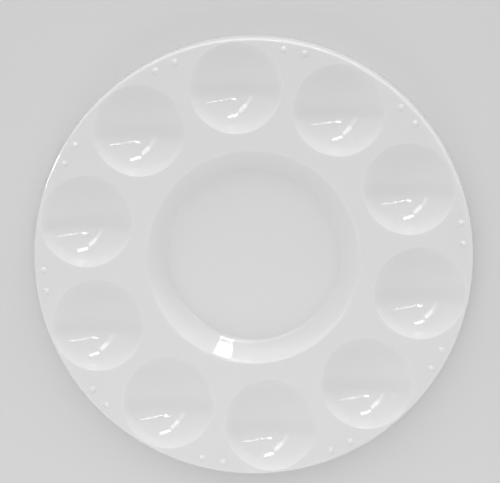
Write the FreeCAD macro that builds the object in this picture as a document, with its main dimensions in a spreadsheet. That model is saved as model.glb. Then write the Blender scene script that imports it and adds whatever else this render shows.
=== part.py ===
"""A round mixing palette: ten paint wells round a flat dish, in one moulded white shell.

Millimetres, +Z up. The origin is on the table, under the middle of the palette,
and one well lies on +Y. The palette stands on the foot of its skirt.
"""
import FreeCAD, Part
import math
import os
import Sketcher

SIZES = [
    ("palette_diameter", 170.0, "across the foot of the skirt"),
    ("palette_height", 10.0, "from the table to the face"),
    ("wall", 1.6, "thickness of the moulding everywhere"),
    ("skirt_lean", 2.5, "degrees that the skirt leans in towards the face"),
    ("rim_round", 1.0, "radius of the outer edge of the face"),
    ("foot_round", 0.3, "radius of the two edges of the foot"),
    ("well_count", 10, "paint wells in the ring"),
    ("well_ring_radius", 65.7, "from the middle of the palette to the middle of a well"),
    ("well_mouth_radius", 17.4, "radius of a well where its sphere meets the face"),
    ("well_depth", 7.8, "from the face to the bottom of a well"),
    ("well_round", 0.8, "radius of the edge of a well"),
    ("dish_mouth_radius", 41.0, "radius of the dish where its wall meets the face"),
    ("dish_floor_radius", 33.2, "radius of the dish where its wall meets its floor"),
    ("dish_depth", 8.0, "from the face to the floor of the dish"),
    ("dish_mouth_round", 1.6, "radius of the edge of the dish"),
    ("dish_floor_round", 2.0, "radius of the corner between wall and floor"),
    ("rest_ring_radius", 81.0, "from the middle of the palette to a brush-rest bump"),
    ("rest_gap", 5.82, "degrees between the two bumps of a pair"),
    ("rest_twist", 0.8, "degrees that a pair stands off the middle between two wells"),
    ("bump_radius", 1.25, "radius of a bump where it meets the face"),
    ("bump_height", 0.7, "from the face to the top of a bump"),
    ("root", 1.2, "how far below the face the added shapes begin"),
    ("clear_above", 1.0, "how far a cutting shape stands above the face"),
    ("gate_radius", 1.4, "radius of the stub left by the moulding gate, under the dish"),
    ("gate_height", 0.2, "height of the stub left by the moulding gate"),
]

# Lengths worked out from the sizes above. Sketches and features are bound to them.
FACE = "sizes.palette_height"
UNDERFACE = "(sizes.palette_height - sizes.wall)"
FOOT_RADIUS = "sizes.palette_diameter / 2"
LEAN = "tan(sizes.skirt_lean * 1deg)"
RIM_RADIUS = f"({FOOT_RADIUS} - {FACE} * {LEAN})"
SKIRT_INSIDE_FOOT = f"({FOOT_RADIUS} - sizes.wall)"
SKIRT_INSIDE_TOP = f"({SKIRT_INSIDE_FOOT} - {UNDERFACE} * {LEAN})"
DISH_FLOOR = "(sizes.palette_height - sizes.dish_depth)"
DISH_UNDERSIDE = f"({DISH_FLOOR} - sizes.wall)"
DISH_FLARE = "((sizes.dish_mouth_radius - sizes.dish_floor_radius) / sizes.dish_depth)"
DISH_WALL_ACROSS = f"(sizes.wall * (sqrt(1 + {DISH_FLARE} ^ 2) - {DISH_FLARE}))"
DISH_OUTSIDE_TOP = f"(sizes.dish_mouth_radius + {DISH_WALL_ACROSS})"
DISH_OUTSIDE_FLOOR = f"(sizes.dish_floor_radius + {DISH_WALL_ACROSS})"
WELL_SPHERE = "((sizes.well_mouth_radius ^ 2 + sizes.well_depth ^ 2) / (2 * sizes.well_depth))"
WELL_CENTRE = f"({FACE} - sizes.well_depth + {WELL_SPHERE})"
BUMP_SPHERE = "((sizes.bump_radius ^ 2 + sizes.bump_height ^ 2) / (2 * sizes.bump_height))"
BUMP_CENTRE = f"({FACE} + sizes.bump_height - {BUMP_SPHERE})"
PAIR_ANGLE = "(180 / sizes.well_count - sizes.rest_twist)"

ORIGIN_POINT = (-1, 1)
VERTICAL_AXIS = -2
START, END, CENTRE = 1, 2, 3
EDGE_TOLERANCE = 0.01


def make_sheet(doc):
    """Keep every driving dimension in a spreadsheet cell with an alias."""
    sheet = doc.addObject("Spreadsheet::Sheet", "sizes")
    for row, (alias, value, note) in enumerate(SIZES, start=1):
        sheet.set(f"A{row}", note)
        sheet.set(f"B{row}", str(value))
        sheet.setAlias(f"B{row}", alias)
    doc.recompute()
    return sheet


def worked_out(body, expression):
    """The number that an expression has at present."""
    return float(body.Document.getObject("sizes").evalExpression(expression))


def origin_part(body, role):
    """One of the planes or axes of the body's own origin."""
    return next(item for item in body.Origin.OriginFeatures if item.Role == role)


def new_sketch(body, name, role):
    """An empty sketch on one of the body's origin planes."""
    sketch = body.newObject("Sketcher::SketchObject", name)
    sketch.AttachmentSupport = [(origin_part(body, role), "")]
    sketch.MapMode = "FlatFace"
    return sketch


def bind(sketch, constraint, expression):
    """Add a constraint and bind its value to an expression."""
    index = sketch.addConstraint(constraint)
    sketch.setExpression(f"Constraints[{index}]", expression)


def pin(sketch, geometry, vertex, across, up):
    """Hold a point at a distance across and up from the sketch's origin."""
    if across is None:
        sketch.addConstraint(Sketcher.Constraint("PointOnObject", geometry, vertex, VERTICAL_AXIS))
    else:
        distance = worked_out(sketch, across)
        bind(sketch, Sketcher.Constraint("DistanceX", *ORIGIN_POINT, geometry, vertex, distance), across)
    height = worked_out(sketch, up)
    bind(sketch, Sketcher.Constraint("DistanceY", *ORIGIN_POINT, geometry, vertex, height), up)


def corner_point(sketch, corner):
    """Where a corner lies at present; a corner with no distance across is on the axis."""
    across, up = corner
    return FreeCAD.Vector(0 if across is None else worked_out(sketch, across), worked_out(sketch, up), 0)


def draw_outline(sketch, corners):
    """Draw a closed outline of straight lines, each corner pinned to its expressions."""
    points = [corner_point(sketch, corner) for corner in corners]
    lines = [
        sketch.addGeometry(Part.LineSegment(point, points[(index + 1) % len(points)]))
        for index, point in enumerate(points)
    ]
    for index, line in enumerate(lines):
        following = lines[(index + 1) % len(lines)]
        sketch.addConstraint(Sketcher.Constraint("Coincident", line, END, following, START))
    for line, corner in zip(lines, corners):
        pin(sketch, line, START, *corner)


def draw_cap(sketch, centre, radius, flat, pole_down):
    """Draw half of a ball's cap: the axis, the flat side, and the arc from it to the pole."""
    middle = FreeCAD.Vector(0, worked_out(sketch, centre), 0)
    size = worked_out(sketch, radius)
    level = worked_out(sketch, flat)
    flat_angle = math.asin((level - middle.y) / size)
    edge = FreeCAD.Vector(size * math.cos(flat_angle), level, 0)
    foot = FreeCAD.Vector(0, level, 0)
    pole = middle + FreeCAD.Vector(0, -size if pole_down else size, 0)
    circle = Part.Circle(middle, FreeCAD.Vector(0, 0, 1), size)
    span = (-math.pi / 2, flat_angle) if pole_down else (flat_angle, math.pi / 2)
    arc = sketch.addGeometry(Part.ArcOfCircle(circle, *span))
    axis = sketch.addGeometry(Part.LineSegment(pole, foot))
    side = sketch.addGeometry(Part.LineSegment(foot, edge))
    arc_pole, arc_edge = (START, END) if pole_down else (END, START)
    sketch.addConstraint(Sketcher.Constraint("Coincident", arc, arc_pole, axis, START))
    sketch.addConstraint(Sketcher.Constraint("Coincident", axis, END, side, START))
    sketch.addConstraint(Sketcher.Constraint("Coincident", side, END, arc, arc_edge))
    sketch.addConstraint(Sketcher.Constraint("PointOnObject", axis, START, VERTICAL_AXIS))
    sketch.addConstraint(Sketcher.Constraint("Horizontal", side))
    pin(sketch, arc, CENTRE, None, centre)
    pin(sketch, axis, END, None, flat)
    bind(sketch, Sketcher.Constraint("Radius", arc, size), radius)


def revolve(body, kind, name, sketch):
    """Turn a sketch all the way round its own vertical axis, to add or to cut."""
    feature = body.newObject(kind, name)
    feature.Profile = (sketch, [""])
    feature.ReferenceAxis = (sketch, ["V_Axis"])
    feature.Angle = 360
    sketch.Visibility = False
    body.Document.recompute()
    return feature


def repeat_round(body, name, originals):
    """Repeat features once for each well, about the palette's axis."""
    pattern = body.newObject("PartDesign::PolarPattern", name)
    pattern.Originals = originals
    pattern.Axis = (origin_part(body, "Z_Axis"), [""])
    pattern.Angle = 360
    pattern.setExpression("Occurrences", "sizes.well_count")
    body.Tip = pattern
    body.Document.recompute()
    return pattern


def ring_edges(shape, radius, height):
    """Names of the circular edges that have this radius and lie at this height."""
    names = []
    for number, edge in enumerate(shape.Edges, start=1):
        if edge.Degenerated or not isinstance(edge.Curve, Part.Circle):
            continue
        same_radius = abs(edge.Curve.Radius - radius) < EDGE_TOLERANCE
        same_height = abs(edge.Curve.Center.z - height) < EDGE_TOLERANCE
        if same_radius and same_height:
            names.append(f"Edge{number}")
    return names


def round_ring(body, name, radius, height, size):
    """Round the circular edges at a radius and a height."""
    base = body.Tip
    edges = ring_edges(base.Shape, worked_out(body, radius), worked_out(body, height))
    if not edges:
        raise RuntimeError(f"{name}: no edge to round")
    fillet = body.newObject("PartDesign::Fillet", name)
    fillet.Base = (base, edges)
    fillet.setExpression("Radius", size)
    body.Tip = fillet
    body.Document.recompute()


def add_shell(body):
    """The face, the dish and the skirt: one section of even thickness, turned round."""
    sketch = new_sketch(body, "shell_section", "XZ_Plane")
    draw_outline(sketch, [
        (None, DISH_FLOOR),
        ("sizes.dish_floor_radius", DISH_FLOOR),
        ("sizes.dish_mouth_radius", FACE),
        (RIM_RADIUS, FACE),
        (FOOT_RADIUS, "0"),
        (SKIRT_INSIDE_FOOT, "0"),
        (SKIRT_INSIDE_TOP, UNDERFACE),
        (DISH_OUTSIDE_TOP, UNDERFACE),
        (DISH_OUTSIDE_FLOOR, DISH_UNDERSIDE),
        (None, DISH_UNDERSIDE),
    ])
    revolve(body, "PartDesign::Revolution", "shell", sketch)


def round_shell(body):
    """Round the dish, the rim and the foot."""
    round_ring(body, "dish_mouth_edge", "sizes.dish_mouth_radius", FACE, "sizes.dish_mouth_round")
    round_ring(body, "dish_floor_corner", "sizes.dish_floor_radius", DISH_FLOOR, "sizes.dish_floor_round")
    round_ring(body, "rim_edge", RIM_RADIUS, FACE, "sizes.rim_round")
    round_ring(body, "foot_outer_edge", FOOT_RADIUS, "0", "sizes.foot_round")
    round_ring(body, "foot_inner_edge", SKIRT_INSIDE_FOOT, "0", "sizes.foot_round")


def well_sketch(body, name):
    """A sketch whose vertical axis is the axis of the well on +Y."""
    sketch = new_sketch(body, name, "YZ_Plane")
    sketch.setExpression(".AttachmentOffset.Base.x", "sizes.well_ring_radius")
    return sketch


def add_well_domes(body):
    """The outside of the wells, which hangs below the face."""
    sketch = well_sketch(body, "well_dome_section")
    draw_cap(sketch, WELL_CENTRE, f"({WELL_SPHERE} + sizes.wall)", f"({FACE} - sizes.root)", True)
    dome = revolve(body, "PartDesign::Revolution", "well_dome", sketch)
    repeat_round(body, "well_domes", [dome])


def cut_wells(body):
    """The hollow of the wells, part of a ball, cut from the face down."""
    before = body.Shape.Volume
    sketch = well_sketch(body, "well_hollow_section")
    draw_cap(sketch, WELL_CENTRE, WELL_SPHERE, f"({FACE} + sizes.clear_above)", True)
    hollow = revolve(body, "PartDesign::Groove", "well_hollow", sketch)
    repeat_round(body, "well_hollows", [hollow])
    if body.Shape.Volume >= before:
        raise RuntimeError("the wells cut nothing")
    round_ring(body, "well_edges", "sizes.well_mouth_radius", FACE, "sizes.well_round")


def add_bump(body, name, half_gap):
    """One brush-rest bump, a low dome near the rim."""
    sketch = new_sketch(body, f"{name}_section", "YZ_Plane")
    angle = f"(({PAIR_ANGLE} + {half_gap}) * 1deg)"
    sketch.setExpression(".AttachmentOffset.Base.x", f"sizes.rest_ring_radius * cos({angle})")
    sketch.setExpression(".AttachmentOffset.Base.z", f"sizes.rest_ring_radius * sin({angle})")
    draw_cap(sketch, BUMP_CENTRE, BUMP_SPHERE, f"({FACE} - sizes.root)", False)
    return revolve(body, "PartDesign::Revolution", name, sketch)


def add_brush_rests(body):
    """A pair of bumps between each two wells; a brush handle lies between the two."""
    pair = [
        add_bump(body, "bump_before", "-sizes.rest_gap / 2"),
        add_bump(body, "bump_after", "sizes.rest_gap / 2"),
    ]
    repeat_round(body, "brush_rests", pair)


def add_gate_stub(body):
    """The short stub that the moulding gate leaves under the middle of the dish."""
    sketch = new_sketch(body, "gate_outline", "XY_Plane")
    sketch.setExpression(".AttachmentOffset.Base.z", f"{DISH_UNDERSIDE} - sizes.gate_height")
    radius = worked_out(body, "sizes.gate_radius")
    circle = Part.Circle(FreeCAD.Vector(), FreeCAD.Vector(0, 0, 1), radius)
    ring = sketch.addGeometry(circle)
    sketch.addConstraint(Sketcher.Constraint("Coincident", ring, CENTRE, *ORIGIN_POINT))
    bind(sketch, Sketcher.Constraint("Radius", ring, radius), "sizes.gate_radius")
    stub = body.newObject("PartDesign::Pad", "gate_stub")
    stub.Profile = (sketch, [""])
    stub.setExpression("Length", "sizes.gate_height + sizes.wall / 2")
    sketch.Visibility = False
    body.Document.recompute()


def make_palette(doc):
    """The whole palette is one moulding, so it is one body."""
    body = doc.addObject("PartDesign::Body", "palette")
    body.Label = "palette"
    body.Placement = FreeCAD.Placement()
    add_shell(body)
    round_shell(body)
    add_well_domes(body)
    cut_wells(body)
    add_brush_rests(body)
    add_gate_stub(body)
    return body


def check(doc, bodies):
    """Stop if any object failed or any shape is missing or broken."""
    for item in doc.Objects:
        if "Invalid" in item.State or "Error" in item.State:
            raise RuntimeError(f"{item.Name} did not compute: {item.State}")
    for body in bodies:
        if body.Shape.isNull() or not body.Shape.isValid():
            raise RuntimeError(f"{body.Label} has no valid shape")
        if len(body.Shape.Solids) != 1:
            raise RuntimeError(f"{body.Label} is not one solid")


def write(bodies):
    """Write each body to its own file, named for its label."""
    os.makedirs("parts", exist_ok=True)
    for body in bodies:
        body.Shape.exportStep(f"parts/{body.Label}.step")
        box = body.Shape.optimalBoundingBox()
        volume = body.Shape.Volume / 1000
        print(f"{body.Label}: {box.XLength:.2f} x {box.YLength:.2f} x {box.ZLength:.2f} mm, {volume:.2f} cm3")


def main():
    """Build, check and write the palette."""
    doc = FreeCAD.newDocument("mixing_palette")
    make_sheet(doc)
    bodies = [make_palette(doc)]
    doc.recompute()
    check(doc, bodies)
    write(bodies)


main()
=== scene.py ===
"""A round white mixing palette: ten paint wells round a flat dish, in one glossy moulded shell.

The file is laid out as an add-on and run as a script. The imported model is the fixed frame: one
well lies on +Y, the wells open up +Z, and the foot of the skirt stands on the floor at z = 0.
"""
import math

import bpy
from mathutils import Matrix, Vector
from mathutils.geometry import delaunay_2d_cdt


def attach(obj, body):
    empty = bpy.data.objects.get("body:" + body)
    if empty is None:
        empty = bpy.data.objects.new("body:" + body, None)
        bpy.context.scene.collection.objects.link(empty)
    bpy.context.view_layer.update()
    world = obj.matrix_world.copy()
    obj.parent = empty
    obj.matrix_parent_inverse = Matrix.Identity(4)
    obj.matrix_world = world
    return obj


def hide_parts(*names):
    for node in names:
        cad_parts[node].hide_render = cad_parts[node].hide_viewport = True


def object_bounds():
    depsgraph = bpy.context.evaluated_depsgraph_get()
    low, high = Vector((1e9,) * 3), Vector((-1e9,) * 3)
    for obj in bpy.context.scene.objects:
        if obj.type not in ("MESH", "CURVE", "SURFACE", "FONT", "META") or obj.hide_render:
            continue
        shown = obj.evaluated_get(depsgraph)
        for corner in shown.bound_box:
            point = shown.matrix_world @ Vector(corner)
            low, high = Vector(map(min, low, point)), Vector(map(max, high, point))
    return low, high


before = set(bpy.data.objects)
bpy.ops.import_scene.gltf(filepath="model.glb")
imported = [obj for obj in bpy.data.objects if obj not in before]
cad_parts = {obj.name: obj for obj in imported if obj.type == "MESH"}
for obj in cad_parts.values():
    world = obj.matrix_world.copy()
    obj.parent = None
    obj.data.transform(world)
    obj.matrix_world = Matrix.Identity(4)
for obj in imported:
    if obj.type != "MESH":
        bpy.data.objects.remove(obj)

bl_info = {
    "name": "Mixing palette",
    "version": (1, 0, 0),
    "blender": (4, 5, 0),
    "location": "3D View > Sidebar > Palette",
    "description": "Builds a moulded mixing palette and the soft studio that it is shown in",
    "category": "Object",
}

CAD_LOW, CAD_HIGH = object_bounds()
FRAME_RADIUS = (CAD_HIGH.x - CAD_LOW.x) / 2
MM = 0.001
BUMP_HEIGHT = 0.7 * MM


# ---------------------------------------------------------------- sizes and colours

def length(name, description, default):
    """A length that a user may change, in metres."""
    return bpy.props.FloatProperty(
        name=name, description=description, default=default, min=0.0, unit="LENGTH", precision=5
    )


def share(name, description, default):
    """A share from none to all."""
    return bpy.props.FloatProperty(
        name=name, description=description, default=default, min=0.0, max=1.0, subtype="FACTOR"
    )


def turn(name, description, degrees):
    """An angle that a user may change."""
    return bpy.props.FloatProperty(
        name=name, description=description, default=math.radians(degrees), unit="ROTATION"
    )


def tone(name, description, default):
    """A colour, as the share of light that it gives back."""
    return bpy.props.FloatVectorProperty(
        name=name, description=description, default=default, size=3, min=0.0, subtype="COLOR"
    )


class PaletteShape(bpy.types.PropertyGroup):
    """Sizes of the moulding."""

    foot_radius: length("Foot radius", "Middle of the palette to the outside of the foot", FRAME_RADIUS)
    face_height: length("Face height", "Floor to the flat face", CAD_HIGH.z - BUMP_HEIGHT)
    wall: length("Wall", "Thickness of the moulding", 1.6 * MM)
    skirt_lean: turn("Skirt lean", "How far the skirt leans in towards the face", 2.5)
    well_count: bpy.props.IntProperty(
        name="Wells", description="Paint wells in the ring", default=10, min=1
    )
    well_ring: length("Well ring", "Middle of the palette to the middle of a well", 65.7 * MM)
    well_mouth: length("Well mouth", "Radius of a well where its ball meets the face", 17.4 * MM)
    well_depth: length("Well depth", "Face to the bottom of a well", 7.8 * MM)
    dish_mouth: length("Dish mouth", "Radius of the dish at the face", 41.0 * MM)
    dish_floor: length("Dish floor", "Radius of the dish where its wall meets its floor", 33.6 * MM)
    dish_depth: length("Dish depth", "Face to the floor of the dish", 8.0 * MM)
    rest_ring: length("Rest ring", "Middle of the palette to a brush-rest bump", 81.0 * MM)
    rest_gap: turn("Rest gap", "Angle between the two bumps of a pair", 5.82)
    rest_twist: turn("Rest twist", "How far a pair stands off the middle between two wells", 0.8)
    bump_radius: length("Bump radius", "Radius of a bump at the face", 1.25 * MM)
    bump_height: length("Bump height", "Face to the top of a bump", BUMP_HEIGHT)


class PaletteFinish(bpy.types.PropertyGroup):
    """Colours and gloss of the moulding."""

    plastic: tone("Plastic", "Colour of the white polystyrene", (0.87, 0.87, 0.87))
    dust: tone("Dust", "Colour of the fine dust that settles on it", (0.70, 0.70, 0.69))
    gloss: share("Face roughness", "Roughness of the polished face", 0.07)
    satin: share("Underside roughness", "Roughness of the plain underside", 0.34)
    glow: share("Translucency", "How much light travels inside the plastic", 0.35)


class StudioSettings(bpy.types.PropertyGroup):
    """The floor, the light and the camera."""

    floor: tone("Floor", "Colour of the pale floor", (0.785, 0.785, 0.785))
    sky: share("Sky", "Light that comes from all round", 0.955)
    tilt_up: turn("Tilt up", "Camera's lean from straight above, towards the top of the view", 6.81)
    tilt_right: turn("Tilt right", "Camera's lean from straight above, towards the right", 2.0)
    roll: turn("Roll", "Turn of the palette in the view, anticlockwise", 5.97)
    distance: length("Distance", "Camera to the face", 1.655)
    lens: bpy.props.FloatProperty(name="Lens", description="Focal length in millimetres", default=309.6)
    aim_right: bpy.props.FloatProperty(
        name="Aim right", description="Where the camera aims, right of the middle", default=-1.19 * MM,
        unit="LENGTH", precision=5
    )
    aim_up: bpy.props.FloatProperty(
        name="Aim up", description="Where the camera aims, above the middle", default=6.10 * MM,
        unit="LENGTH", precision=5
    )


# ---------------------------------------------------------------- mesh tools

BEND_FULLNESS = 0.58     # how far a rounded corner is pulled towards its sharp corner


def between(start, end, step, steps):
    """A point part of the way from start to end."""
    return start + (end - start) * (step / steps)


def bezier(start, first, second, end, steps):
    """Points along a cubic curve, without its start."""
    points = []
    for step in range(1, steps + 1):
        along = step / steps
        back = 1 - along
        points.append(
            start * back ** 3 + first * (3 * back ** 2 * along)
            + second * (3 * back * along ** 2) + end * along ** 3
        )
    return points


def rounded(start, corner, end, steps):
    """Points round a corner, from start to end, without the start. Its bend grows and fades evenly."""
    first = start.lerp(corner, BEND_FULLNESS)
    second = end.lerp(corner, BEND_FULLNESS)
    return bezier(start, first, second, end, steps)


class Skin:
    """A closed surface gathered ring by ring, then made into one mesh."""

    def __init__(self):
        self.points = []
        self.faces = []
        self.kinds = []

    def add_point(self, x, y, z):
        self.points.append((x, y, z))
        return len(self.points) - 1

    def add_ring(self, middle, radius, height, segments):
        """A ring of points, anticlockwise seen from above. height is a number or a function of x and y."""
        ring = []
        for step in range(segments):
            angle = 2 * math.pi * step / segments
            x = middle[0] + radius * math.cos(angle)
            y = middle[1] + radius * math.sin(angle)
            z = height(x, y) if callable(height) else height
            ring.append(self.add_point(x, y, z))
        return ring

    def add_face(self, corners, kind=0):
        self.faces.append(corners)
        self.kinds.append(kind)

    def bridge(self, inner, outer, kind=0):
        """Four-sided faces between two rings; they face up where the second ring is the wider one."""
        for step, point in enumerate(inner):
            following = (step + 1) % len(inner)
            self.add_face((point, outer[step], outer[following], inner[following]), kind)

    def fan(self, pole, ring, kind=0):
        """Triangles from a middle point to a ring."""
        for step, point in enumerate(ring):
            self.add_face((pole, point, ring[(step + 1) % len(ring)]), kind)

    def turned(self, middle, profile, segments, kind=0):
        """A surface turned round an upright axis from its pole outwards. Returns its outer ring."""
        pole = self.add_point(middle[0], middle[1], profile[0].y)
        inner = None
        for point in profile[1:]:
            outer = self.add_ring(middle, point.x, point.y, segments)
            if inner is None:
                self.fan(pole, outer, kind)
            else:
                self.bridge(inner, outer, kind)
            inner = outer
        return inner

    def flat_between(self, outer_loop, holes, kind=0):
        """Triangles over the flat face, inside one loop and outside the round holes."""
        loops = [outer_loop, *holes]
        used = [point for loop in loops for point in loop]
        owners = [number for number, loop in enumerate(loops) for _ in loop]
        places = [Vector(self.points[point][:2]) / MM for point in used]
        edges = []
        first = 0
        inside_only = 1
        tolerance = 1e-7
        for loop in loops:
            edges += [(first + step, first + (step + 1) % len(loop)) for step in range(len(loop))]
            first += len(loop)
        _, _, faces, origins, _, _ = delaunay_2d_cdt(places, edges, [], inside_only, tolerance)
        for face in faces:
            corners = [origins[corner][0] for corner in face]
            touched = {owners[corner] for corner in corners}
            # A triangle with all its corners on one hole's edge lies inside that hole.
            if len(touched) > 1 or 0 in touched:
                self.add_face(tuple(used[corner] for corner in corners), kind)

    def to_object(self, name, materials):
        """The finished mesh object, smooth all over."""
        mesh = bpy.data.meshes.new(name)
        mesh.from_pydata(self.points, [], self.faces)
        for material in materials:
            mesh.materials.append(material)
        mesh.polygons.foreach_set("material_index", self.kinds)
        mesh.polygons.foreach_set("use_smooth", [True] * len(self.faces))
        mesh.validate()
        mesh.update()
        made = bpy.data.objects.new(name, mesh)
        bpy.context.scene.collection.objects.link(made)
        return made


# ---------------------------------------------------------------- the moulding's surfaces

TOP, UNDER = 0, 1
GUARD = 0.03 * MM        # width of the flat ring that keeps the face flat up to a rounded edge
WELL_SEGMENTS = 96
DISH_SEGMENTS = 240
BUMP_SEGMENTS = 28
SKIRT_SEGMENTS = 400

# How far a rounded edge reaches each way from its sharp corner.
WELL_EDGE_IN = 1.5 * MM
WELL_EDGE_OUT = 0.40 * MM
DISH_FOOT_BEND = 0.9 * MM
DISH_EDGE_BEND = 0.7 * MM
BUMP_EDGE_IN = 0.12 * MM
BUMP_EDGE_OUT = 0.22 * MM
RIM_EDGE_IN = 0.957 * MM
RIM_EDGE_DOWN = 1.5 * MM
FOOT_ROUND = 0.3 * MM
UNDER_FILLET = 0.5 * MM

FOOT_CORNER_OUT = 0.013 * MM     # from the widest point of the foot out to its unrounded corner
UNDER_BLEND = 1.2 * MM           # how softly the shapes of the underside run together
GATE_RADIUS = 1.4 * MM
GATE_HEIGHT = 0.2 * MM


def well_ball(shape):
    """Radius of the ball that a well is part of."""
    return (shape.well_mouth ** 2 + shape.well_depth ** 2) / (2 * shape.well_depth)


def well_places(shape):
    """Middles of the wells, the first on +Y."""
    for number in range(shape.well_count):
        angle = math.pi / 2 + 2 * math.pi * number / shape.well_count
        yield (shape.well_ring * math.cos(angle), shape.well_ring * math.sin(angle))


def bump_places(shape):
    """Middles of the brush-rest bumps, in pairs between the wells."""
    pitch = 2 * math.pi / shape.well_count
    for number in range(shape.well_count):
        for side in (-0.5, 0.5):
            angle = math.pi / 2 + shape.rest_twist + pitch * (number - 0.5) + side * shape.rest_gap
            yield (shape.rest_ring * math.cos(angle), shape.rest_ring * math.sin(angle))


def well_profile(shape):
    """From the bottom of a well up its ball, round its soft edge and on to the face."""
    ball = well_ball(shape)
    face = shape.face_height
    centre = face - shape.well_depth + ball
    ball_end = shape.well_mouth - WELL_EDGE_IN
    edge_end = shape.well_mouth + WELL_EDGE_OUT
    widest = math.asin(ball_end / ball)
    steps = 22
    profile = []
    for step in range(steps + 1):
        angle = widest * step / steps
        profile.append(Vector((ball * math.sin(angle), centre - ball * math.cos(angle))))
    top = profile[-1]
    corner = Vector((top.x + (face - top.y) / math.tan(widest), face))
    profile += rounded(top, corner, Vector((edge_end, face)), steps=9)
    profile.append(Vector((edge_end + GUARD, face)))
    return profile


def dish_profile(shape):
    """From the middle of the dish, across its floor, up its sloping wall and on to the face."""
    face = shape.face_height
    floor = face - shape.dish_depth
    foot = Vector((shape.dish_floor, floor))
    mouth = Vector((shape.dish_mouth, face))
    slope = (mouth - foot).normalized()
    floor_shares = (0, 0.25, 0.5, 0.75, 0.9)
    profile = [Vector((shape.dish_floor * part, floor)) for part in floor_shares]
    bend_in = Vector((foot.x - DISH_FOOT_BEND, floor))
    bend_out = foot + slope * DISH_FOOT_BEND
    edge_in = mouth - slope * DISH_EDGE_BEND
    edge_out = Vector((mouth.x + DISH_EDGE_BEND, face))
    wall_steps = 6
    profile += [bend_in - Vector((GUARD, 0)), bend_in]
    profile += rounded(bend_in, foot, bend_out, steps=10)
    profile += [between(bend_out, edge_in, step, wall_steps) for step in range(1, wall_steps + 1)]
    profile += rounded(edge_in, mouth, edge_out, steps=10)
    profile.append(edge_out + Vector((GUARD, 0)))
    return profile


def bump_profile(shape):
    """From the top of a brush-rest bump down its dome to a small fillet on the face."""
    radius, height, face = shape.bump_radius, shape.bump_height, shape.face_height
    ball = (radius ** 2 + height ** 2) / (2 * height)
    centre = face + height - ball
    low = math.asin((radius - BUMP_EDGE_IN) / ball)
    steps = 7
    profile = []
    for step in range(steps + 1):
        angle = low * step / steps
        profile.append(Vector((ball * math.sin(angle), centre + ball * math.cos(angle))))
    last = profile[-1]
    corner = Vector((last.x + (last.y - face) / math.tan(low), face))
    profile += rounded(last, corner, Vector((corner.x + BUMP_EDGE_OUT, face)), steps=4)
    profile.append(profile[-1] + Vector((GUARD, 0)))
    return profile


def smooth_lower(first, second, blend):
    """The lower of two heights, rounded where they cross."""
    near = max(blend - abs(first - second), 0.0) / blend
    return min(first, second) - near * near * blend / 4


def underside_height(shape):
    """A function of x and y: how high the underside of the moulding lies."""
    face, wall = shape.face_height, shape.wall
    ball = well_ball(shape)
    centre = face - shape.well_depth + ball
    outer_ball = ball + wall
    middles = list(well_places(shape))
    flare = (shape.dish_mouth - shape.dish_floor) / shape.dish_depth
    across = wall * (math.sqrt(1 + flare ** 2) - flare)
    dish_bottom = face - shape.dish_depth - wall
    well_reach = outer_ball ** 2 * 0.81
    plainly_flat = shape.dish_floor - 3 * MM

    def height(x, y):
        low = face - wall
        for middle in middles:
            off = (x - middle[0]) ** 2 + (y - middle[1]) ** 2
            if off < well_reach:
                low = smooth_lower(low, centre - math.sqrt(outer_ball ** 2 - off), UNDER_BLEND)
        out = math.hypot(x, y)
        cone = dish_bottom + (out - shape.dish_floor - across) / flare
        dish = -smooth_lower(-dish_bottom, -cone, UNDER_BLEND)
        if out < plainly_flat:
            dish = dish_bottom
        if out < GATE_RADIUS:
            dish -= GATE_HEIGHT
        return smooth_lower(low, dish, UNDER_BLEND)

    return height


def skirt_profile(shape):
    """From the face over the rounded rim, down the skirt, round the foot and up its inside."""
    lean = math.tan(shape.skirt_lean)
    face, foot = shape.face_height, shape.foot_radius + FOOT_CORNER_OUT
    rim = Vector((foot - face * lean, face))
    down = Vector((lean, -1)).normalized()
    start = rim - Vector((RIM_EDGE_IN, 0))
    drop = rim + down * RIM_EDGE_DOWN
    profile = [start - Vector((GUARD, 0)), start]
    profile += rounded(start, rim, drop, steps=12)
    wall_steps = 8
    outside = Vector((foot, 0))
    inside = Vector((foot - shape.wall, 0))
    above_out = outside - down * FOOT_ROUND
    above_in = inside - down * FOOT_ROUND
    under_out = outside - Vector((FOOT_ROUND, 0))
    under_in = inside + Vector((FOOT_ROUND, 0))
    profile += [between(drop, above_out, step, wall_steps) for step in range(1, wall_steps + 1)]
    profile += rounded(above_out, outside, under_out, steps=4)
    profile.append(under_in)
    profile += rounded(under_in, inside, above_in, steps=4)
    return profile


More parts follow.
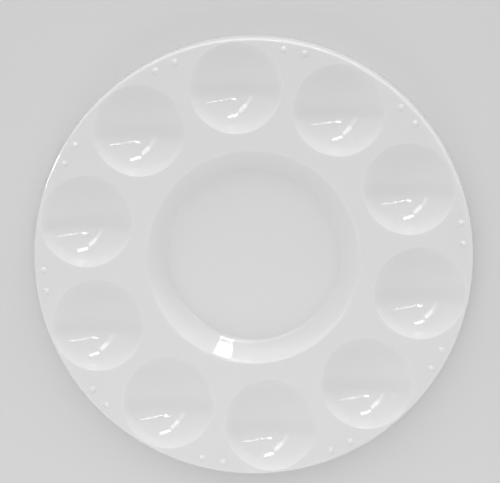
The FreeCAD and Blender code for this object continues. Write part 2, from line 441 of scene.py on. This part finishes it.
def add_underside(skin, shape, ring, foot_inside):
    """The inside of the skirt and the underside, from the foot's inner edge in to the middle."""
    height = underside_height(shape)
    lean = math.tan(shape.skirt_lean)
    top_radius = foot_inside.x - (shape.face_height - shape.wall) * lean
    segments = len(ring)

    def wall_ring(rise):
        points = []
        for step in range(segments):
            angle = 2 * math.pi * step / segments
            direction = Vector((math.cos(angle), math.sin(angle)))
            top = height(*(direction * top_radius)) - UNDER_FILLET
            z = foot_inside.y + (top - foot_inside.y) * rise
            radius = foot_inside.x - (z - foot_inside.y) * lean
            points.append(skin.add_point(direction.x * radius, direction.y * radius, z))
        return points

    def corner_ring(inward, below):
        radius = top_radius - UNDER_FILLET * inward
        points = []
        for step in range(segments):
            angle = 2 * math.pi * step / segments
            x, y = radius * math.cos(angle), radius * math.sin(angle)
            points.append(skin.add_point(x, y, height(x, y) - UNDER_FILLET * below))
        return points

    rings = [wall_ring(rise) for rise in (0.2, 0.4, 0.6, 0.8, 1.0)]
    for quarter in (0.25, 0.5, 0.75):
        angle = quarter * math.pi / 2
        rings.append(corner_ring(1 - math.cos(angle), 1 - math.sin(angle)))
    start = top_radius - UNDER_FILLET
    flat_from = 30.5 * MM
    flat_to = GATE_RADIUS + 0.3 * MM
    close_rings = 62
    wide_rings = 8
    radii = [between(start, flat_from, step, close_rings) for step in range(close_rings + 1)]
    radii += [between(flat_from, flat_to, step, wide_rings) for step in range(1, wide_rings + 1)]
    radii += [GATE_RADIUS + 0.05 * MM, GATE_RADIUS - 0.02 * MM, GATE_RADIUS / 2]
    rings += [skin.add_ring((0, 0), radius, height, segments) for radius in radii]
    for following in rings:
        skin.bridge(ring, following, UNDER)
        ring = following
    pole = skin.add_point(0, 0, height(0, 0))
    for step, point in enumerate(ring):
        skin.add_face((pole, ring[(step + 1) % segments], point), UNDER)


def make_palette_mesh(shape, materials):
    """The whole moulding as one closed mesh."""
    skin = Skin()
    holes = [skin.turned((0, 0), dish_profile(shape), DISH_SEGMENTS, TOP)]
    wells = well_profile(shape)
    holes += [skin.turned(middle, wells, WELL_SEGMENTS, TOP) for middle in well_places(shape)]
    bumps = bump_profile(shape)
    holes += [skin.turned(middle, bumps, BUMP_SEGMENTS, TOP) for middle in bump_places(shape)]
    profile = skirt_profile(shape)
    outer = skin.add_ring((0, 0), profile[0].x, profile[0].y, SKIRT_SEGMENTS)
    skin.flat_between(outer, holes, TOP)
    ring = outer
    for point in profile[1:]:
        following = skin.add_ring((0, 0), point.x, point.y, SKIRT_SEGMENTS)
        skin.bridge(ring, following, TOP)
        ring = following
    add_underside(skin, shape, ring, profile[-1])
    return skin.to_object("palette_moulding", materials)


# ---------------------------------------------------------------- shader groups and materials

class Nodes:
    """Short hands for making and joining shader nodes in one tree."""

    def __init__(self, tree):
        self.tree = tree
        self.column = 0

    def add(self, kind, values=None, **settings):
        node = self.tree.nodes.new(kind)
        node.location = (self.column * 200, 0)
        self.column += 1
        for name, value in settings.items():
            setattr(node, name, value)
        for name, value in (values or {}).items():
            node.inputs[name].default_value = value
        return node

    def join(self, source, target):
        self.tree.links.new(source, target)

    def maths(self, operation, first, second):
        node = self.add("ShaderNodeMath", operation=operation)
        for socket, value in zip(node.inputs, (first, second)):
            if isinstance(value, (int, float)):
                socket.default_value = value
            else:
                self.join(value, socket)
        return node.outputs[0]


def new_group(name, inputs, outputs):
    """An empty shader node group with named inputs and outputs."""
    group = bpy.data.node_groups.new(name, "ShaderNodeTree")
    for label, kind, default in inputs:
        socket = group.interface.new_socket(name=label, in_out="INPUT", socket_type=kind)
        socket.default_value = default
    for label, kind in outputs:
        group.interface.new_socket(name=label, in_out="OUTPUT", socket_type=kind)
    return group


def fine_surface_group():
    """Faint unevenness, hairline scratches and settled dust, as masks and a height."""
    group = new_group(
        "fine surface",
        [("Ripple Size", "NodeSocketFloat", 60.0), ("Scratch Share", "NodeSocketFloat", 0.2),
         ("Dust Share", "NodeSocketFloat", 0.2)],
        [("Ripple", "NodeSocketFloat"), ("Scratches", "NodeSocketFloat"), ("Dust", "NodeSocketFloat"),
         ("Height", "NodeSocketFloat")],
    )
    hair_level, patch_level, few_level = 0.71, 0.52, 0.60
    speck_radius = 0.10
    scratch_height = -0.05
    nodes = Nodes(group)
    given = nodes.add("NodeGroupInput")
    out = nodes.add("NodeGroupOutput")
    place = nodes.add("ShaderNodeTexCoord")
    ripple = nodes.add("ShaderNodeTexNoise", {"Detail": 2.0, "Roughness": 0.4})
    nodes.join(place.outputs["Object"], ripple.inputs["Vector"])
    nodes.join(given.outputs["Ripple Size"], ripple.inputs["Scale"])
    warp = nodes.add("ShaderNodeTexNoise", {"Scale": 18.0, "Detail": 1.0})
    nodes.join(place.outputs["Object"], warp.inputs["Vector"])
    stretched = nodes.add("ShaderNodeMapping")
    stretched.inputs["Rotation"].default_value = (0.0, 0.0, 0.6)
    stretched.inputs["Scale"].default_value = (1.0, 26.0, 1.0)
    nodes.join(place.outputs["Object"], stretched.inputs["Vector"])
    hairs = nodes.add("ShaderNodeTexNoise", {"Scale": 90.0, "Detail": 3.0, "Roughness": 0.6})
    nodes.join(stretched.outputs[0], hairs.inputs["Vector"])
    hair_lines = nodes.maths("GREATER_THAN", hairs.outputs[0], hair_level)
    patches = nodes.maths("GREATER_THAN", warp.outputs[0], patch_level)
    hair_patches = nodes.maths("MULTIPLY", hair_lines, patches)
    scratches = nodes.maths("MULTIPLY", hair_patches, given.outputs["Scratch Share"])
    specks = nodes.add("ShaderNodeTexVoronoi", {"Scale": 420.0, "Randomness": 1.0})
    nodes.join(place.outputs["Object"], specks.inputs["Vector"])
    near = nodes.maths("LESS_THAN", specks.outputs["Distance"], speck_radius)
    lie = nodes.add("ShaderNodeTexNoise", {"Scale": 260.0, "Detail": 1.0})
    nodes.join(place.outputs["Object"], lie.inputs["Vector"])
    few = nodes.maths("GREATER_THAN", lie.outputs[0], few_level)
    dust_near = nodes.maths("MULTIPLY", near, few)
    dust = nodes.maths("MULTIPLY", dust_near, given.outputs["Dust Share"])
    lowered = nodes.maths("MULTIPLY", scratches, scratch_height)
    height = nodes.maths("ADD", ripple.outputs[0], lowered)
    nodes.join(ripple.outputs[0], out.inputs["Ripple"])
    nodes.join(scratches, out.inputs["Scratches"])
    nodes.join(dust, out.inputs["Dust"])
    nodes.join(height, out.inputs["Height"])
    return group


def new_material(name):
    """A material with one Principled shader, and the helper for its nodes."""
    material = bpy.data.materials.new(name)
    material.use_nodes = True
    material.node_tree.nodes.clear()
    nodes = Nodes(material.node_tree)
    shader = nodes.add("ShaderNodeBsdfPrincipled")
    output = nodes.add("ShaderNodeOutputMaterial")
    nodes.join(shader.outputs[0], output.inputs["Surface"])
    return material, nodes, shader


def surface_nodes(nodes, shader, group, finish, roughness, values, bump):
    """Colour, roughness and bump of a surface from the fine-surface group.

    finish is the clean colour and the dust's colour; bump is its strength and its distance.
    """
    ripple_roughness, scratch_roughness, dust_roughness = 0.04, 0.25, 0.5
    fine = nodes.add("ShaderNodeGroup", node_tree=group)
    for name, value in values.items():
        fine.inputs[name].default_value = value
    colour = nodes.add("ShaderNodeMix", data_type="RGBA")
    colour.inputs["A"].default_value = (*finish[0], 1.0)
    colour.inputs["B"].default_value = (*finish[1], 1.0)
    nodes.join(fine.outputs["Dust"], colour.inputs["Factor"])
    nodes.join(colour.outputs["Result"], shader.inputs["Base Color"])
    ripple = nodes.maths("MULTIPLY_ADD", fine.outputs["Ripple"], ripple_roughness)
    ripple.node.inputs[2].default_value = roughness - ripple_roughness / 2
    scratched = nodes.maths("MULTIPLY", fine.outputs["Scratches"], scratch_roughness)
    rough = nodes.maths("ADD", ripple, scratched)
    dusty = nodes.maths("MULTIPLY", fine.outputs["Dust"], dust_roughness)
    total = nodes.maths("ADD", rough, dusty)
    nodes.join(total, shader.inputs["Roughness"])
    relief = nodes.add("ShaderNodeBump", {"Strength": bump[0], "Distance": bump[1]})
    nodes.join(fine.outputs["Height"], relief.inputs["Height"])
    nodes.join(relief.outputs[0], shader.inputs["Normal"])


POLYSTYRENE_IOR = 1.59
LIGHT_REACH = 1.5 * MM     # how far light travels inside the plastic


def plastic_material(name, group, finish, roughness, values, bump):
    """White polystyrene: glossy, with a little light travelling inside it."""
    material, nodes, shader = new_material(name)
    shader.inputs["IOR"].default_value = POLYSTYRENE_IOR
    shader.inputs["Subsurface Weight"].default_value = finish.glow
    shader.inputs["Subsurface Radius"].default_value = (1.0, 1.0, 1.0)
    shader.inputs["Subsurface Scale"].default_value = LIGHT_REACH
    surface_nodes(nodes, shader, group, (finish.plastic, finish.dust), roughness, values, bump)
    return material


# ---------------------------------------------------------------- the studio

# Brightness of the surroundings, from the bottom of the view (-1) through the camera's own
# direction (0) to the top (1): a pale lower wall that fades to the bottom, a dark band round the
# camera, and a bright upper room.
LOWER_ROOM = 0.55
LOWER_WALL = 0.8
CAMERA_BAND = 0.35
UPPER_WALL = 0.9
UPPER_ROOM = 1.2
SKY_LEVELS = (
    (-1.0, LOWER_ROOM), (-0.5, LOWER_WALL), (-0.22, LOWER_WALL), (-0.18, CAMERA_BAND),
    (0.1, CAMERA_BAND), (0.24, UPPER_WALL), (0.7, UPPER_ROOM), (1.0, UPPER_ROOM),
)
FLOOR_SEGMENTS = 64
BACKDROP_GREY = 0.62     # what the camera sees past the edge of the floor
LAMP_DISTANCE = 3.0
LAMP_POWER = 4.0         # watts per square metre of lamp for a glow of 1


def view_axes(studio):
    """Unit vectors to the right and to the top of the view, both lying in the face."""
    roll = studio.roll
    right = Vector((math.cos(roll), -math.sin(roll), 0.0))
    up = Vector((math.sin(roll), math.cos(roll), 0.0))
    return right, up


def towards(studio, direction):
    """A direction given as right, up and out of the face, in the frame's own axes."""
    right, up = view_axes(studio)
    return (right * direction[0] + up * direction[1] + Vector((0, 0, direction[2]))).normalized()


def make_camera(studio, height):
    """The camera, nearly straight above the face."""
    right, up = view_axes(studio)
    lean = right * math.tan(studio.tilt_right) + up * math.tan(studio.tilt_up) + Vector((0, 0, 1))
    back = lean.normalized()
    aim = right * studio.aim_right + up * studio.aim_up + Vector((0, 0, height))
    side = up.cross(back).normalized()
    top = back.cross(side)
    data = bpy.data.cameras.new("camera")
    data.lens = studio.lens
    data.sensor_width = 36.0
    data.clip_start = 0.1
    data.clip_end = 20.0
    camera = bpy.data.objects.new("camera", data)
    bpy.context.scene.collection.objects.link(camera)
    turned = Matrix((side, top, back)).transposed().to_4x4()
    camera.matrix_world = Matrix.Translation(aim + back * studio.distance) @ turned
    bpy.context.scene.camera = camera


def add_lamp(
    studio, name, direction, size, glow, away=LAMP_DISTANCE, along=None, diffuse=False, glossy=True
):
    """A rectangular lamp that faces the palette. As it comes, it shows only in reflections."""
    place = towards(studio, direction) * away
    data = bpy.data.lights.new(name, "AREA")
    data.shape = "RECTANGLE"
    data.size, data.size_y = size
    data.energy = glow * size[0] * size[1] * LAMP_POWER
    lamp = bpy.data.objects.new(name, data)
    bpy.context.scene.collection.objects.link(lamp)
    back = place.normalized()
    side = along if along is not None else Vector((0, 0, 1)).cross(back)
    side = (side - back * side.dot(back)).normalized()
    turned = Matrix((side, back.cross(side), back)).transposed().to_4x4()
    lamp.matrix_world = Matrix.Translation(place) @ turned
    lamp.visible_camera = False
    lamp.visible_diffuse = diffuse
    lamp.visible_glossy = glossy
    return lamp


def add_strip(studio, name, start, end, width, glow):
    """A long lamp from one direction to another."""
    first = towards(studio, start) * LAMP_DISTANCE
    last = towards(studio, end) * LAMP_DISTANCE
    middle = (first + last) / 2
    right, up = view_axes(studio)
    direction = (middle.dot(right), middle.dot(up), middle.z)
    size = ((last - first).length, width)
    return add_lamp(studio, name, direction, size, glow, middle.length, last - first)


def make_world(studio):
    """Soft light from all round, in bands across the view; the camera sees a plain grey."""
    world = bpy.data.worlds.new("studio light")
    bpy.context.scene.world = world
    world.use_nodes = True
    world.node_tree.nodes.clear()
    nodes = Nodes(world.node_tree)
    place = nodes.add("ShaderNodeTexCoord")
    _, up = view_axes(studio)
    lean = nodes.add("ShaderNodeVectorMath", operation="DOT_PRODUCT")
    lean.inputs[1].default_value = up
    nodes.join(place.outputs["Generated"], lean.inputs[0])
    along = nodes.maths("MULTIPLY_ADD", lean.outputs["Value"], 0.5)
    along.node.inputs[2].default_value = 0.5
    levels = nodes.add("ShaderNodeValToRGB")
    nodes.join(along, levels.inputs[0])
    brightest = max(level for _, level in SKY_LEVELS)
    stops = levels.color_ramp.elements
    while len(stops) < len(SKY_LEVELS):
        stops.new(0.5)
    for stop, (leaning, level) in zip(stops, SKY_LEVELS):
        stop.position = (leaning + 1) / 2
        stop.color = (*[level / brightest] * 3, 1.0)
    background = nodes.add("ShaderNodeBackground", {"Strength": brightest * studio.sky})
    nodes.join(levels.outputs["Color"], background.inputs["Color"])
    seen = nodes.add("ShaderNodeBackground", {"Color": (*[BACKDROP_GREY] * 3, 1.0), "Strength": 1.0})
    path = nodes.add("ShaderNodeLightPath")
    mixed = nodes.add("ShaderNodeMixShader")
    nodes.join(path.outputs["Is Camera Ray"], mixed.inputs[0])
    nodes.join(background.outputs[0], mixed.inputs[1])
    nodes.join(seen.outputs[0], mixed.inputs[2])
    output = nodes.add("ShaderNodeOutputWorld")
    nodes.join(mixed.outputs[0], output.inputs["Surface"])


def low_direction(bearing, elevation):
    """A direction by its bearing, anticlockwise from the right of the view, and its elevation."""
    bearing, elevation = math.radians(bearing), math.radians(elevation)
    flat = math.cos(elevation)
    return (math.cos(bearing) * flat, math.sin(bearing) * flat, math.sin(elevation))


def light_only(lamp, subject):
    """Keep a lamp's light on one object, so that none of it falls on the floor."""
    receivers = bpy.data.collections.new(lamp.name)
    receivers.objects.link(subject)
    lamp.light_linking.receiver_collection = receivers


def make_lamps(studio, moulding):
    """The lamps that show as highlights in the wells, the dish and the rim, and the soft ones.

    A strip has its two ends, given as right, up and out of the face, its width and its glow.
    A lamp has its direction, its size and its glow.
    """
    add_strip(studio, "lamp by the camera", (0.105, 0.337, 0.935), (-0.058, 0.364, 0.929), 0.19, 8.0)
    add_strip(studio, "thin strip", (0.15, 0.334, 0.93), (0.785, 0.375, 0.50), 0.06, 6.5)
    add_strip(studio, "long strip", (-0.37, 0.48, 0.795), (-0.138, 0.69, 0.711), 0.40, 3.2)
    add_strip(studio, "far strip", (-0.53, 0.22, 0.82), (-0.37, 0.48, 0.795), 0.32, 1.2)
    add_strip(studio, "bright end", (-0.10, 0.76, 0.642), (0.185, 0.818, 0.544), 0.26, 9.0)
    add_lamp(studio, "small lamp", (-0.805, 0.258, 0.534), (0.2, 0.15), 1.6)
    add_lamp(studio, "overhead softbox", low_direction(72.4, 4.6), (0.54, 0.30), 10.0, diffuse=True)
    add_lamp(studio, "upper shelf", low_direction(86, 14.4), (0.7, 0.10), 1.4)
    add_lamp(studio, "lower shelf", low_direction(85, 7.5), (0.7, 0.12), 2.0)
    card = add_lamp(
        studio, "low card", low_direction(160.5, 1.9), (0.027, 0.008), 50.0, away=0.15
    )
    light_only(card, moulding)
    for bearing in (45, 118):
        low = add_lamp(
            studio, "skirt light", low_direction(bearing, 1.0), (0.3, 0.008), 2.5, away=0.28,
            diffuse=True, glossy=False,
        )
        light_only(low, moulding)
    add_lamp(
        studio, "soft fill", low_direction(-100, 35), (0.3, 0.3), 0.9, away=0.5,
        diffuse=True, glossy=False,
    )


def make_floor(studio, group):
    """A wide pale floor, level with the palette's foot."""
    skin = Skin()
    skin.turned((0, 0), [Vector((radius, 0)) for radius in (0, 0.3, 1.0, 3.0, 9.0)], FLOOR_SEGMENTS)
    material, nodes, shader = new_material("pale floor")
    shader.inputs["Specular IOR Level"].default_value = 0.0
    values = {"Ripple Size": 25.0, "Scratch Share": 0.0, "Dust Share": 0.0}
    surface_nodes(nodes, shader, group, (studio.floor, studio.floor), 0.75, values, (0.05, 0.2 * MM))
    floor = skin.to_object("floor", [material])


# ---------------------------------------------------------------- operators, panel and registration

class PALETTE_OT_moulding(bpy.types.Operator):
    """Build the palette's moulding and give it its plastic"""

    bl_idname = "palette.moulding"
    bl_label = "Build the moulding"

    def execute(self, context):
        shape = context.scene.palette_shape
        finish = context.scene.palette_finish
        group = fine_surface_group()
        face = plastic_material(
            "polished face", group, finish, finish.gloss,
            {"Ripple Size": 45.0, "Scratch Share": 0.06, "Dust Share": 0.25}, (0.025, 0.05 * MM),
        )
        under = plastic_material(
            "satin underside", group, finish, finish.satin,
            {"Ripple Size": 140.0, "Scratch Share": 0.3, "Dust Share": 0.2}, (0.15, 0.05 * MM),
        )
        moulding = make_palette_mesh(shape, [face, under])
        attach(moulding, "root")
        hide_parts("palette")
        return {"FINISHED"}


class PALETTE_OT_studio(bpy.types.Operator):
    """Build the floor, the soft light and the camera"""

    bl_idname = "palette.studio"
    bl_label = "Build the studio"

    def execute(self, context):
        studio = context.scene.palette_studio
        bpy.context.scene.view_settings.view_transform = "Standard"
        make_camera(studio, context.scene.palette_shape.face_height)
        make_world(studio)
        make_floor(studio, bpy.data.node_groups["fine surface"])
        make_lamps(studio, bpy.data.objects["palette_moulding"])
        return {"FINISHED"}


class PALETTE_PT_sidebar(bpy.types.Panel):
    """Lists the sizes, the finish, the studio and the buttons that build them"""

    bl_label = "Mixing palette"
    bl_idname = "PALETTE_PT_sidebar"
    bl_space_type = "VIEW_3D"
    bl_region_type = "UI"
    bl_category = "Palette"

    def draw(self, context):
        for settings in (
            context.scene.palette_shape, context.scene.palette_finish, context.scene.palette_studio
        ):
            box = self.layout.box()
            for name in settings.__annotations__:
                box.prop(settings, name)
        for operator in OPERATORS:
            self.layout.operator(operator.bl_idname)


SETTINGS = {
    "palette_shape": PaletteShape,
    "palette_finish": PaletteFinish,
    "palette_studio": StudioSettings,
}
OPERATORS = (PALETTE_OT_moulding, PALETTE_OT_studio)
CLASSES = (*SETTINGS.values(), *OPERATORS, PALETTE_PT_sidebar)


def register():
    """Make the classes known and hang the settings on the scene."""
    for item in CLASSES:
        bpy.utils.register_class(item)
    for name, settings in SETTINGS.items():
        setattr(bpy.types.Scene, name, bpy.props.PointerProperty(type=settings))


def unregister():
    """Take everything back that register() did."""
    for name in SETTINGS:
        delattr(bpy.types.Scene, name)
    for item in reversed(CLASSES):
        bpy.utils.unregister_class(item)


def main():
    """Build everything in order."""
    register()
    bpy.ops.palette.moulding()
    bpy.ops.palette.studio()


if __name__ == "__main__":
    main()
